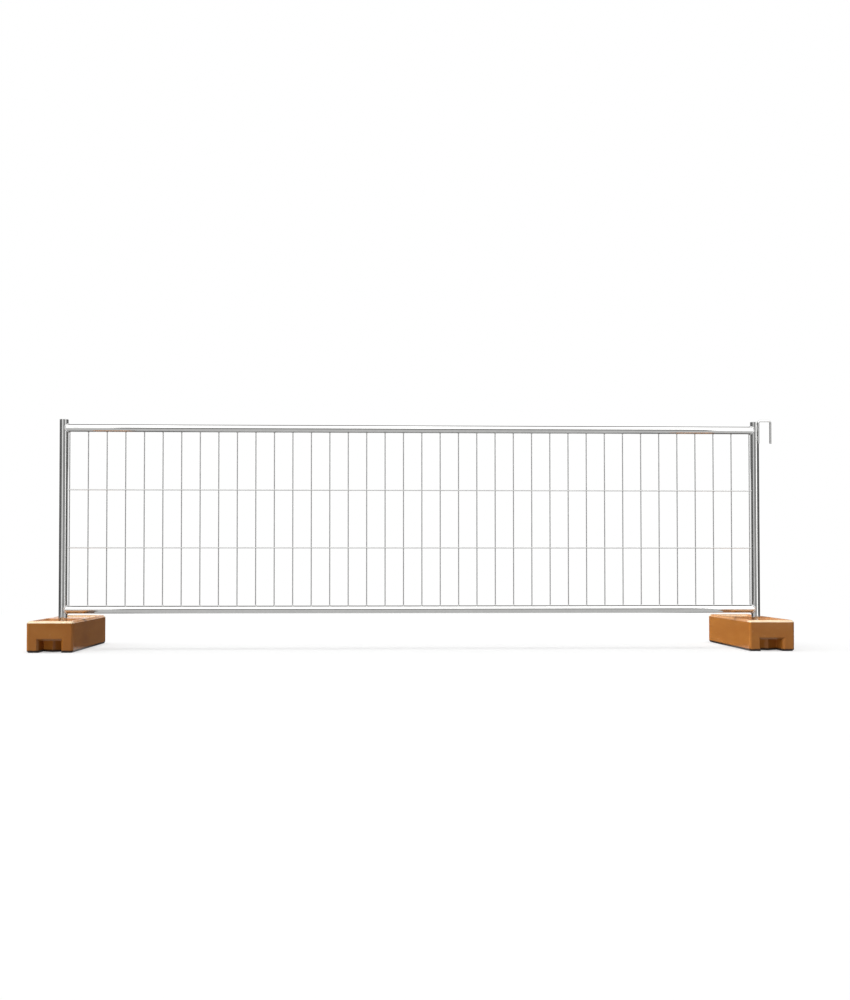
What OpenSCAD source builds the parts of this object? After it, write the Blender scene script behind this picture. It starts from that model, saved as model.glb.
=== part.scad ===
// Low mobile fence panel: a welded tube frame filled with wire mesh, with a coupling
// hook at one end, standing by its two posts in two moulded block feet.
// Millimetres, +X along the panel towards the hook, +Z up, ground at Z = 0.
// The origin is on the ground, midway between the feet.

/* [Frame] */
// Width of the panel over the outsides of its two posts
panel_w = 3500; // [1500:50:4000]
// Outside diameter of a post
post_d = 42; // [40:1:60]
// Wall of a post tube
post_wall = 2; // [1.5:0.5:3]
// Outside diameter of a rail
rail_d = 38; // [25:1:40]
// Wall of a rail tube
rail_wall = 2; // [1.5:0.5:3]
// Gap between the top of a foot and the underside of the bottom rail
rail_clear = 26; // [10:1:150]
// Distance between the axes of the two rails
rail_pitch = 900; // [400:10:1900]
// Distance from the axis of the top rail up to the open top of a post
rail_drop = 42; // [25:1:150]

/* [Mesh] */
// Diameter of every mesh wire
wire_d = 5; // [3:0.5:6]
// Number of upright wires between the posts
wire_n = 38; // [10:1:50]
// Distance from the face of a post to the axis of the upright wire beside it
wire_edge = 7.5; // [5:0.5:40]

/* [Coupling hook] */
// Diameter of the bent rod
hook_d = 10; // [6:1:14]
// Distance along the panel from the axis of the right post to the axis of the welded leg
hook_offset = 10; // [0:1:16]
// Distance between the axes of the welded leg and the free leg
hook_span = 61; // [50:1:90]
// Distance from the axis of the bar down to the ends of the legs
hook_drop = 114; // [60:1:200]
// Radius of the two bends, at the rod's axis
hook_bend = 10; // [8:1:20]
// Height of the bar's axis above the open top of the post
hook_rise = 3; // [0:1:20]
// Chamfer at the end of each leg
hook_chamfer = 1; // [0.5:0.5:2]

/* [Feet] */
// Width of a foot, along the panel
foot_w = 220; // [200:5:260]
// Length of a foot, across the panel
foot_l = 600; // [560:10:800]
// Height of a foot
foot_h = 150; // [120:5:200]
// Radius of the upright corners
foot_corner = 12; // [11:1:30]
// Chamfer along the top edge
foot_top_chamfer = 10; // [3:1:10]
// Chamfer along the bottom edge
foot_base_chamfer = 8; // [2:1:10]
// Distance from the middle of a foot to the axis of each post socket
socket_set = 90; // [80:1:120]
// Thickness of the foot under a post
socket_floor = 40; // [20:1:60]
// Width of the rim round the two pockets in the top
rim_w = 18; // [16:1:35]
// Length of the bridge between the two pockets
bridge_l = 80; // [50:1:100]
// Depth of the pockets
pocket_depth = 8; // [6:1:50]
// Radius of the corners of a pocket at its mouth
pocket_corner = 18; // [12:1:30]
// How far the walls of a pocket lean in, from mouth to floor
pocket_draft = 2; // [1:1:8]

/* [Hand-holds] */
// Width of the notch in each end of a foot
notch_w = 124; // [90:1:140]
// Height of the notch, from the ground
notch_h = 66; // [40:1:70]
// Width of the sloping lip round the notch
notch_lip = 9; // [4:1:14]
// Depth of the sloping lip
notch_lip_depth = 10; // [4:1:16]
// Depth of the notch at the upright ridge in the middle of its back
notch_depth = 52; // [30:1:80]
// How much deeper the notch is at its sides than at the ridge
notch_ridge = 30; // [10:1:50]

/* [Fits] */
// Gap between steel pieces that the weld fills
weld_gap = 0.2; // [0.1:0.1:0.5]
// Radial clearance between a post and its socket
socket_gap = 1; // [0.5:0.5:3]

/* [Hidden] */
// How far a cutting shape runs past the face that it cuts
overrun = 1;
// Segments of a full circle on tubes, rods and bores
round_fn = 96;
// Segments of a full circle on the moulded, blended shapes
moulded_fn = 32;

// Frame: posts stand on the socket floors, and the panel plane is off the middle of the feet
post_x = panel_w / 2 - post_d / 2;
panel_y = -socket_set;
bottom_rail_z = foot_h + rail_clear + rail_d / 2;
top_rail_z = bottom_rail_z + rail_pitch;
post_top = top_rail_z + rail_drop;
post_l = post_top - socket_floor;

// Mesh: upright wires fill the span evenly, and two cross wires part the clear height in three
wire_x = post_x - post_d / 2 - wire_edge;
wire_pitch = 2 * wire_x / (wire_n - 1);
clear_low = bottom_rail_z + rail_d / 2;
clear_high = top_rail_z - rail_d / 2;
cross_y = panel_y - wire_d - weld_gap;
cross_end_x = post_x - post_d / 2 - weld_gap;
function cross_z(third) = clear_low + (clear_high - clear_low) * third / 3;

// Hook: the welded leg lies on the front of the right post, towards its outer side
hook_leg_x = post_x + hook_offset;
hook_to_post = post_d / 2 + hook_d / 2 + weld_gap;
hook_y = panel_y - sqrt(pow(hook_to_post, 2) - pow(hook_offset, 2));
hook_bar_z = post_top + hook_rise;

// Feet
socket_d = post_d + 2 * socket_gap;
pocket_floor = foot_h - pocket_depth;
pocket_w = foot_w - 2 * rim_w;
pocket_l = (foot_l - bridge_l) / 2 - rim_w;
pocket_y = bridge_l / 2 + pocket_l / 2;

steel = [0.76, 0.78, 0.80];
wire_steel = [0.80, 0.81, 0.82];
ochre = [0.66, 0.41, 0.17];

function wire_name(i) = str("vertical_wire_", i < 10 ? "0" : "", i);

// A tube standing on the origin
module tube(d, wall, l) {
    difference() {
        cylinder(d = d, h = l, $fn = round_fn);
        translate([0, 0, -overrun])
            cylinder(d = d - 2 * wall, h = l + 2 * overrun, $fn = round_fn);
    }
}

// A post at x, open at both ends
module post(x) {
    color(steel)
        translate([x, panel_y, socket_floor])
            tube(post_d, post_wall, post_l);
}

// A rail at height z, its ends cut to saddle the posts
module rail(z) {
    color(steel)
        difference() {
            translate([-post_x, panel_y, z])
                rotate([0, 90, 0])
                    tube(rail_d, rail_wall, 2 * post_x);
            for (x = [-post_x, post_x])
                translate([x, panel_y, z - rail_d])
                    cylinder(d = post_d + 2 * weld_gap, h = 2 * rail_d, $fn = round_fn);
        }
}

// The upright wire number i, counted from the left, between the two rails
module vertical_wire(i) {
    color(wire_steel)
        translate([-wire_x + (i - 1) * wire_pitch, panel_y, clear_low + weld_gap])
            cylinder(d = wire_d, h = clear_high - clear_low - 2 * weld_gap, $fn = round_fn);
}

// A wire at height z across the front of the upright wires, from post to post
module cross_wire(z) {
    color(wire_steel)
        translate([-cross_end_x, cross_y, z])
            rotate([0, 90, 0])
                cylinder(d = wire_d, h = 2 * cross_end_x, $fn = round_fn);
}

// A leg of the hook, hanging from the origin, with a chamfered end
module hook_leg(l) {
    translate([0, 0, hook_chamfer - l])
        cylinder(d = hook_d, h = l - hook_chamfer, $fn = round_fn);
    translate([0, 0, -l])
        cylinder(d1 = hook_d - 2 * hook_chamfer, d2 = hook_d, h = hook_chamfer, $fn = round_fn);
}

// A quarter bend of the hook, from a leg below the origin's left to a bar at its top
module hook_elbow() {
    rotate([90, 0, 0])
        rotate_extrude(angle = 90, $fn = round_fn)
            translate([hook_bend, 0])
                circle(d = hook_d, $fn = round_fn);
}

// The inverted U of round rod that drops into the open top of the next panel's post
module coupling_hook() {
    color(steel)
        translate([hook_leg_x + hook_span / 2, hook_y, hook_bar_z - hook_bend]) {
            for (side = [-1, 1])
                translate([side * hook_span / 2, 0, 0])
                    hook_leg(hook_drop - hook_bend);
            for (side = [0, 1])
                mirror([side, 0, 0])
                    translate([hook_span / 2 - hook_bend, 0, 0])
                        hook_elbow();
            translate([hook_bend - hook_span / 2, 0, hook_bend])
                rotate([0, 90, 0])
                    cylinder(d = hook_d, h = hook_span - 2 * hook_bend, $fn = round_fn);
        }
}

// One upright corner of the block, chamfered at its base and its top
module foot_corner_post() {
    rotate_extrude($fn = moulded_fn)
        polygon([
            [0, 0],
            [foot_corner - foot_base_chamfer, 0],
            [foot_corner, foot_base_chamfer],
            [foot_corner, foot_h - foot_top_chamfer],
            [foot_corner - foot_top_chamfer, foot_h],
            [0, foot_h]]);
}

// The solid block before its pockets, sockets and notches are taken out
module foot_block() {
    hull()
        for (sx = [-1, 1], sy = [-1, 1])
            translate([sx * (foot_w / 2 - foot_corner), sy * (foot_l / 2 - foot_corner), 0])
                foot_corner_post();
}

// A pocket in the top, with leaning walls and round corners
module pocket() {
    lean = pocket_draft / pocket_depth;
    corner_x = pocket_w / 2 - pocket_corner;
    corner_y = pocket_l / 2 - pocket_corner;
    hull()
        for (sx = [-1, 1], sy = [-1, 1])
            translate([sx * corner_x, sy * corner_y, pocket_floor])
                cylinder(
                    r1 = pocket_corner - pocket_draft,
                    r2 = pocket_corner + lean * overrun,
                    h = pocket_depth + overrun,
                    $fn = moulded_fn);
}

// The hand-hold in an end: a sloping lip, and a back that stands forward in an upright ridge
module notch() {
    inner_w = notch_w - 2 * notch_lip;
    inner_h = notch_h - notch_lip;
    hull() {
        translate([-notch_w / 2, -overrun, -overrun])
            cube([notch_w, overrun, notch_h + overrun]);
        translate([-inner_w / 2, -overrun, -overrun])
            cube([inner_w, notch_lip_depth + overrun, inner_h + overrun]);
    }
    translate([0, 0, -overrun])
        linear_extrude(inner_h + overrun)
            polygon([
                [-inner_w / 2, 0],
                [inner_w / 2, 0],
                [inner_w / 2, notch_depth + notch_ridge],
                [0, notch_depth],
                [-inner_w / 2, notch_depth + notch_ridge]]);
}

// A moulded foot at x, with a socket for this panel's post and one for the next panel's
module foot(x) {
    color(ochre)
        translate([x, 0, 0])
            difference() {
                foot_block();
                for (sy = [-1, 1]) {
                    translate([0, sy * pocket_y, 0])
                        pocket();
                    translate([0, sy * socket_set, socket_floor])
                        cylinder(d = socket_d, h = foot_h, $fn = round_fn);
                }
                for (turn = [0, 180])
                    rotate([0, 0, turn])
                        translate([0, -foot_l / 2, 0])
                            notch();
            }
}

foot(-post_x);  // left_foot
foot(post_x);  // right_foot
post(-post_x);  // left_post
post(post_x);  // right_post
rail(top_rail_z);  // top_rail
rail(bottom_rail_z);  // bottom_rail
cross_wire(cross_z(2));  // upper_cross_wire
cross_wire(cross_z(1));  // lower_cross_wire
coupling_hook();
for (i = [1:wire_n])
    vertical_wire(i);
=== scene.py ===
"""Dresses a low temporary fence panel: moulded feet, galvanised tubes, rod hook, welds and studio."""

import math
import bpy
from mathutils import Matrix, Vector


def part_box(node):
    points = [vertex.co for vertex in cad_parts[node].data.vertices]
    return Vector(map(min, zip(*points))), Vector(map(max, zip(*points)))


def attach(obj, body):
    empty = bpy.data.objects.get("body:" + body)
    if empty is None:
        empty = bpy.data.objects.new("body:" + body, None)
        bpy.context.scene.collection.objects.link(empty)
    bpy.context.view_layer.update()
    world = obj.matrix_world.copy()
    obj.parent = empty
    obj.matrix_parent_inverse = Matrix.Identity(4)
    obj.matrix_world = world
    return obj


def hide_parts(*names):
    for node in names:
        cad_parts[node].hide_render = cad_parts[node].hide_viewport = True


bl_info = {
    "name": "Temporary Fence Panel",
    "version": (1, 0, 0),
    "blender": (4, 5, 0),
    "location": "3D View > Sidebar > Fence Panel",
    "description": "Builds the feet, tubes, hook, welds, finishes and studio of a low mobile fence panel",
    "category": "Add Mesh",
}

import bmesh
import bpy
from bmesh.types import BMEdge, BMFace, BMVert
from bpy.props import FloatProperty, FloatVectorProperty, IntProperty, PointerProperty
from mathutils import Color, Matrix, Vector

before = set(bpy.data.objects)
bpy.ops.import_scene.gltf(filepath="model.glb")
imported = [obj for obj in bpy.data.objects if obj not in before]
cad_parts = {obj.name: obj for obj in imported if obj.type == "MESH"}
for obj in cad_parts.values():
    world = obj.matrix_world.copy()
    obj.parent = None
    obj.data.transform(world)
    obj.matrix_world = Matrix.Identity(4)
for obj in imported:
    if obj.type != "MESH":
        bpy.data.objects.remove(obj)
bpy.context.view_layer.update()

# Bodies and material slots of the packed part
PANEL = "panel"

SIDES = ("left", "right")
RAILS = ("top_rail", "bottom_rail")
CROSS_WIRES = ("upper_cross_wire", "lower_cross_wire")
UPRIGHT_WIRES = sorted(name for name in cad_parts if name.startswith("vertical_wire_"))

# Edges that turn more than this stay crisp when a piece is shaded smooth
CRISP_ANGLE = math.radians(38)
# Faces that turn less than this lie in one plane
FLAT_ANGLE = math.radians(0.5)
QUARTER_TURN = math.pi / 2
FULL_TURN = math.tau

# Sides of the sockets, the hook's rod and the welds
SOCKET_SIDES = 48
ROD_SIDES = 32
WELD_SIDES = 12
# Steps round the broken edges, the moulded corners, the fillets and the hook's bends
EDGE_STEPS = 3
CORNER_STEPS = 8
FILLET_STEPS = 4
BEND_STEPS = 10
# Steps along one ripple of a saddle bead and along a whole bead on the hook
RIPPLE_STEPS = 4
BEAD_STEPS = 28
# How far the middle of a saddle bead stands off its rail and its post, in bead radii
SADDLE_OFF = 1 / 3
# Thickness of a hook bead at its tips, as a share of its middle
BEAD_TIP = 0.12
# Hook beads: shares of the welded height, bead radii off the post and rod radii beside the rod
BEAD_HEIGHTS = (0.22, 0.72)
BEAD_OFF = 0.55
BEAD_ASIDE = 0.95
# Flare of a wire's weld: radius in wire radii and height in collar sizes
COLLAR_FLARE = ((1.04, 1.5), (1.25, 0.62), (1.7, 0.22), (2.3, -0.25))
# Depth of the melt where two wires cross, as a share of its width
NUGGET_DEPTH = 0.72


def middle(node):
    """Centre of a node's box."""
    low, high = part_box(node)
    return (low + high) / 2


def extent(node):
    """Width, depth and height of a node's box."""
    low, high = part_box(node)
    return high - low


POST_RADIUS = extent("left_post").x / 2
RAIL_RADIUS = extent("top_rail").z / 2
WIRE_RADIUS = extent(UPRIGHT_WIRES[0]).x / 2
ROD_RADIUS = extent("coupling_hook").y / 2
FOOT_SIZE = extent("left_foot")
PANEL_Y = middle("left_post").y


class FencePanelTubes(bpy.types.PropertyGroup):
    """Sizes of the posts, rails and hook that the frame's boxes don't give."""

    wall: FloatProperty(
        name="Wall", description="Wall of the posts and rails",
        default=0.002, min=0.001, max=0.005, precision=4, unit="LENGTH")
    rim: FloatProperty(
        name="Rim", description="Round on the sawn ends of the tubes",
        default=0.0005, min=0.0001, max=0.0009, precision=4, unit="LENGTH")
    facets: IntProperty(
        name="Facets", description="Sides of a tube",
        default=72, min=24, max=128)
    hook_bend: FloatProperty(
        name="Hook Bend", description="Radius of the hook's bends, at the middle of the rod",
        default=0.010, min=0.006, max=0.020, precision=4, unit="LENGTH")
    hook_chamfer: FloatProperty(
        name="Hook Chamfer", description="Chamfer on the ends of the hook's rod",
        default=0.001, min=0.0002, max=0.003, precision=4, unit="LENGTH")


class FencePanelFoot(bpy.types.PropertyGroup):
    """Sizes of a moulded foot inside its outer box."""

    corner: FloatProperty(
        name="Corner", description="Radius of the upright corners",
        default=0.012, min=0.011, max=0.040, unit="LENGTH")
    top_chamfer: FloatProperty(
        name="Top Chamfer", description="Chamfer along the top edge",
        default=0.010, min=0.003, max=0.010, unit="LENGTH")
    base_chamfer: FloatProperty(
        name="Base Chamfer", description="Chamfer along the edge on the ground",
        default=0.008, min=0.002, max=0.010, unit="LENGTH")
    rim: FloatProperty(
        name="Rim", description="Width of the rim round the pockets",
        default=0.018, min=0.016, max=0.040, unit="LENGTH")
    bridge: FloatProperty(
        name="Bridge", description="Length of the bridge between the pockets",
        default=0.080, min=0.040, max=0.120, unit="LENGTH")
    pocket_depth: FloatProperty(
        name="Pocket Depth", description="Depth of the pockets in the top",
        default=0.008, min=0.006, max=0.050, unit="LENGTH")
    pocket_corner: FloatProperty(
        name="Pocket Corner", description="Radius of a pocket's corners at its mouth",
        default=0.018, min=0.014, max=0.030, unit="LENGTH")
    pocket_draft: FloatProperty(
        name="Pocket Draft", description="How far a pocket's walls lean in",
        default=0.002, min=0.001, max=0.008, unit="LENGTH")
    pocket_fillet: FloatProperty(
        name="Pocket Fillet", description="Radius at the mouth and the floor of a pocket",
        default=0.002, min=0.001, max=0.005, unit="LENGTH")
    socket_radius: FloatProperty(
        name="Socket Radius", description="Radius of the sockets for the posts",
        default=0.022, min=0.021, max=0.030, unit="LENGTH")
    socket_set: FloatProperty(
        name="Socket Set", description="Distance of a socket from the middle of the foot",
        default=0.090, min=0.080, max=0.120, unit="LENGTH")
    socket_floor: FloatProperty(
        name="Socket Floor", description="Height of the floor of a socket",
        default=0.040, min=0.020, max=0.060, unit="LENGTH")
    socket_lead: FloatProperty(
        name="Socket Lead", description="Chamfer at the mouth of a socket",
        default=0.002, min=0.0005, max=0.004, unit="LENGTH")
    notch_width: FloatProperty(
        name="Hand-hold Width", description="Width of a hand-hold at the face",
        default=0.124, min=0.080, max=0.150, unit="LENGTH")
    notch_height: FloatProperty(
        name="Hand-hold Height", description="Height of a hand-hold at the face",
        default=0.066, min=0.040, max=0.090, unit="LENGTH")
    notch_lip: FloatProperty(
        name="Lip", description="How far the hand-hold narrows behind the face",
        default=0.009, min=0.003, max=0.015, unit="LENGTH")
    notch_lip_depth: FloatProperty(
        name="Lip Depth", description="Depth over which the hand-hold narrows",
        default=0.010, min=0.003, max=0.015, unit="LENGTH")
    notch_depth: FloatProperty(
        name="Hand-hold Depth", description="Depth of the hand-hold at its ridge",
        default=0.052, min=0.030, max=0.080, unit="LENGTH")
    notch_ridge: FloatProperty(
        name="Ridge", description="How far the ridge stands out of the hand-hold's back",
        default=0.030, min=0.005, max=0.040, unit="LENGTH")
    edge_break: FloatProperty(
        name="Edge Break", description="Round on the sharp edges of the moulding",
        default=0.0015, min=0.0005, max=0.003, precision=4, unit="LENGTH")


class FencePanelWelds(bpy.types.PropertyGroup):
    """Sizes of the welds."""

    saddle_bead: FloatProperty(
        name="Saddle Bead", description="Radius of the bead where a rail meets a post",
        default=0.0028, min=0.001, max=0.005, precision=4, unit="LENGTH")
    saddle_ripples: IntProperty(
        name="Saddle Ripples", description="Ripples round a saddle bead",
        default=44, min=12, max=80)
    ripple: FloatProperty(
        name="Ripple", description="How far the ripples swell a bead",
        default=0.14, min=0.0, max=0.4, subtype="FACTOR")
    hook_bead: FloatProperty(
        name="Hook Bead", description="Radius of the beads that hold the hook to its post",
        default=0.0018, min=0.001, max=0.005, precision=4, unit="LENGTH")
    hook_bead_length: FloatProperty(
        name="Hook Bead Length", description="Length of a bead on the hook",
        default=0.026, min=0.01, max=0.05, unit="LENGTH")
    collar: FloatProperty(
        name="Collar", description="How far a wire's weld spreads on a tube",
        default=0.0026, min=0.001, max=0.005, precision=4, unit="LENGTH")
    nugget: FloatProperty(
        name="Nugget", description="Radius of the melt where two wires cross",
        default=0.0037, min=0.002, max=0.006, precision=4, unit="LENGTH")


class FencePanelFinish(bpy.types.PropertyGroup):
    """Colours and gloss, with colours as they look on screen."""

    ochre: FloatVectorProperty(
        name="Ochre", description="Colour of the moulded plastic",
        subtype="COLOR_GAMMA", size=3, min=0, max=1, default=(0.70, 0.445, 0.185))
    ochre_deep: FloatVectorProperty(
        name="Deep Ochre", description="Colour of the darker swirls in the plastic",
        subtype="COLOR_GAMMA", size=3, min=0, max=1, default=(0.665, 0.41, 0.16))
    scuff: FloatVectorProperty(
        name="Scuff", description="Colour of rubbed plastic",
        subtype="COLOR_GAMMA", size=3, min=0, max=1, default=(0.76, 0.53, 0.31))
    # Partly wear, partly painted highlight: this cream on the top chamfers also stands in for their bright
    # highlight
    worn_and_highlit: FloatVectorProperty(
        name="Worn Edge", description="Colour of the plastic where the top edges are worn",
        subtype="COLOR_GAMMA", size=3, min=0, max=1, default=(0.86, 0.80, 0.68))
    # Painted shadow: this dark colour along each foot's base stands in for its contact shadow on the ground
    painted_base_shadow: FloatVectorProperty(
        name="Grime", description="Colour of the dirt where a foot stands on the ground",
        subtype="COLOR_GAMMA", size=3, min=0, max=1, default=(0.12, 0.08, 0.055))
    plastic_gloss: FloatProperty(
        name="Plastic Roughness", description="Roughness of clean moulded plastic",
        default=0.10, min=0, max=1, subtype="FACTOR")
    plastic_sheen: FloatProperty(
        name="Plastic Sheen", description="Level of the plastic's mirror-like part",
        default=0.22, min=0, max=1, subtype="FACTOR")
    zinc: FloatVectorProperty(
        name="Zinc", description="Colour of the galvanised tubes",
        subtype="COLOR_GAMMA", size=3, min=0, max=1, default=(0.775, 0.775, 0.77))
    zinc_dull: FloatVectorProperty(
        name="Dull Zinc", description="Colour of the duller flakes of zinc",
        subtype="COLOR_GAMMA", size=3, min=0, max=1, default=(0.735, 0.735, 0.73))
    zinc_gloss: FloatProperty(
        name="Zinc Roughness", description="Roughness of the tubes",
        default=0.08, min=0, max=1, subtype="FACTOR")
    wire_zinc: FloatVectorProperty(
        name="Wire Zinc", description="Colour of the galvanised wires",
        subtype="COLOR_GAMMA", size=3, min=0, max=1, default=(0.70, 0.70, 0.695))
    wire_dull: FloatVectorProperty(
        name="Dull Wire", description="Colour of the duller flakes of zinc on the wires",
        subtype="COLOR_GAMMA", size=3, min=0, max=1, default=(0.665, 0.665, 0.66))
    wire_gloss: FloatProperty(
        name="Wire Roughness", description="Roughness of the wires",
        default=0.26, min=0, max=1, subtype="FACTOR")
    weld: FloatVectorProperty(
        name="Weld", description="Colour of the galvanised welds",
        subtype="COLOR_GAMMA", size=3, min=0, max=1, default=(0.70, 0.70, 0.70))


class FencePanelStage(bpy.types.PropertyGroup):
    """Camera, floor and lamps of the studio."""

    eye: FloatVectorProperty(
        name="Eye", description="Place of the camera",
        subtype="TRANSLATION", size=3, default=(-0.2093, -5.158, 0.4205))
    turn: FloatProperty(
        name="Turn", description="Camera's turn to the right of straight ahead",
        subtype="ANGLE", default=math.radians(1.632))
    tilt: FloatProperty(
        name="Tilt", description="Camera's tilt above level",
        subtype="ANGLE", default=math.radians(1.094))
    lens: FloatProperty(
        name="Lens", description="Focal length on a 36 mm frame",
        default=36.56, min=10, max=200, unit="CAMERA")
    shift: FloatVectorProperty(
        name="Shift", description="Lens shift of the photograph's framing",
        size=2, default=(0.0253, 0.0447))
    ambient: FloatProperty(
        name="Ambient", description="Even light from all round",
        default=0.06, min=0, max=2)
    left_light: FloatProperty(
        name="Left Light", description="Light of the surround at the left",
        default=6.0, min=0, max=10)
    right_light: FloatProperty(
        name="Right Light", description="Light of the surround at the right",
        default=1.2, min=0, max=10)
    top_sun: FloatProperty(
        name="Top Sun", description="Strength of the wide light from above",
        default=4.6, min=0, max=10)
    front_sun: FloatProperty(
        name="Front Sun", description="Strength of the wide low light from the front",
        default=0.75, min=0, max=10)
    overhead: FloatProperty(
        name="Overhead", description="Brightness of the large card that the rails mirror",
        default=1.5, min=0, max=10)
    left_strip: FloatProperty(
        name="Left Strip", description="Brightness of the upright card at the left",
        default=0.8, min=0, max=10)
    right_strip: FloatProperty(
        name="Right Strip", description="Brightness of the upright card at the right",
        default=1.75, min=0, max=10)
    front_flag: FloatProperty(
        name="Front Flag", description="Brightness of the grey wall that the steel mirrors in front",
        default=0.44, min=0, max=1)
    side_flag_low: FloatProperty(
        name="Low Side Flag", description="Brightness at the foot of the grey wall beside the panel",
        default=0.10, min=0, max=1)
    side_flag_high: FloatProperty(
        name="High Side Flag", description="Brightness at the top of the grey wall beside the panel",
        default=0.22, min=0, max=1)
    back_flag: FloatProperty(
        name="Back Flag", description="Brightness of the grey slope above and behind the panel",
        default=0.25, min=0, max=1)


def screen_colour(colour):
    """A colour as it looks on screen, as the four linear values of a socket."""
    return (*Color(colour).from_srgb_to_scene_linear(), 1.0)


# Materials

# Patterns of the plastic, in waves per metre along X, Y and Z
SWIRLS = (9, 5, 13)
RUBS = (26, 11, 60)
CHIPS = (40, 40, 90)
SHADOW_EDGE_WAVES = (55, 55, 20)
GLOSS_PATCHES = (70, 70, 70)
GRAIN = (620, 620, 620)
# Heights over which the wear and painted highlight of the top edge start and end, and where they grow
# towards a foot's ends
WEAR_HIGHLIGHT_STARTS = (FOOT_SIZE.z - 0.0115, FOOT_SIZE.z - 0.0095)
WEAR_HIGHLIGHT_ENDS = (FOOT_SIZE.z - 0.0010, FOOT_SIZE.z - 0.0002)
WEAR_HIGHLIGHT_GROWS = (0.26, 0.288)
# Heights over which the painted contact shadow along the base fades out, and how far up its wavy edge
# reaches
PAINTED_SHADOW_FADES = (0.0048, 0.0110)
SHADOW_EDGE_RISE = 0.006
# Patterns of the zinc and the welds, in waves per metre
FLAKES = (150, 150, 150)
CLOUDS = (7, 7, 7)
LUMPS = (420, 420, 420)
DRAWN_LINES = {"X": (3, 900, 900), "Z": (900, 900, 3)}


def add_node(tree, kind, sockets=None, **settings):
    """Adds a node, sets its settings by name and its sockets by name or number."""
    node = tree.nodes.new(kind)
    for key, value in settings.items():
        setattr(node, key, value)
    for key, value in (sockets or {}).items():
        if isinstance(value, bpy.types.NodeSocket):
            tree.links.new(value, node.inputs[key])
        else:
            node.inputs[key].default_value = value
    return node


def new_finish(name):
    """A new material with its node tree and its shader."""
    material = bpy.data.materials.new(name)
    material.use_nodes = True
    tree = material.node_tree
    return material, tree, tree.nodes["Principled BSDF"]


def object_place(tree):
    """Object coordinates."""
    return add_node(tree, "ShaderNodeTexCoord").outputs["Object"]


def place_parts(tree):
    """Object coordinates as X, Y and Z."""
    return add_node(tree, "ShaderNodeSeparateXYZ", {"Vector": object_place(tree)}).outputs


def stretched_place(tree, stretch):
    """Object coordinates times a stretch, as the vector of a texture."""
    sockets = {"Vector": object_place(tree), "Scale": stretch}
    return add_node(tree, "ShaderNodeMapping", sockets).outputs["Vector"]


def noise(tree, stretch, detail=3.0, rough=0.55):
    """Noise over stretched object coordinates."""
    place = stretched_place(tree, stretch)
    sockets = {"Vector": place, "Scale": 1.0, "Detail": detail, "Roughness": rough}
    return add_node(tree, "ShaderNodeTexNoise", sockets).outputs["Fac"]


def remap(tree, value, old, new):
    """Maps a value from one range to another, clamped."""
    sockets = {"Value": value, 1: old[0], 2: old[1], 3: new[0], 4: new[1]}
    return add_node(tree, "ShaderNodeMapRange", sockets, clamp=True).outputs["Result"]


def combine(tree, how, first, second, third=0.0):
    """Arithmetic on two or three values."""
    sockets = {0: first, 1: second, 2: third}
    return add_node(tree, "ShaderNodeMath", sockets, operation=how).outputs["Value"]


def mix_colours(tree, share, first, second):
    """Mixes two colours by a share."""
    sockets = {0: share, 6: first, 7: second}
    return add_node(tree, "ShaderNodeMix", sockets, data_type="RGBA").outputs[2]


def add_bump(tree, shader, height, strength, distance):
    """Roughens a shader's surface by a height."""
    sockets = {"Strength": strength, "Distance": distance, "Height": height}
    bump = add_node(tree, "ShaderNodeBump", sockets)
    tree.links.new(bump.outputs["Normal"], shader.inputs["Normal"])


def plastic_wear_highlight(tree, parts):
    """Share of the pale band along the top edge, partly rubbed plastic and partly a painted highlight;
    patchy and strongest at the ends of a foot.
    """
    edge = combine(tree, "MULTIPLY", remap(tree, parts["Z"], WEAR_HIGHLIGHT_STARTS, (0, 1)),
                   remap(tree, parts["Z"], WEAR_HIGHLIGHT_ENDS, (1, 0)))
    end = combine(tree, "ABSOLUTE", parts["Y"], 0.0)
    wear_highlight_band = combine(tree, "MULTIPLY", edge, remap(tree, end, WEAR_HIGHLIGHT_GROWS, (0.16, 0.78)))
    chips = remap(tree, noise(tree, CHIPS, 4), (0.25, 0.6), (0.75, 1.1))
    return combine(tree, "MULTIPLY", wear_highlight_band, chips)


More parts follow.
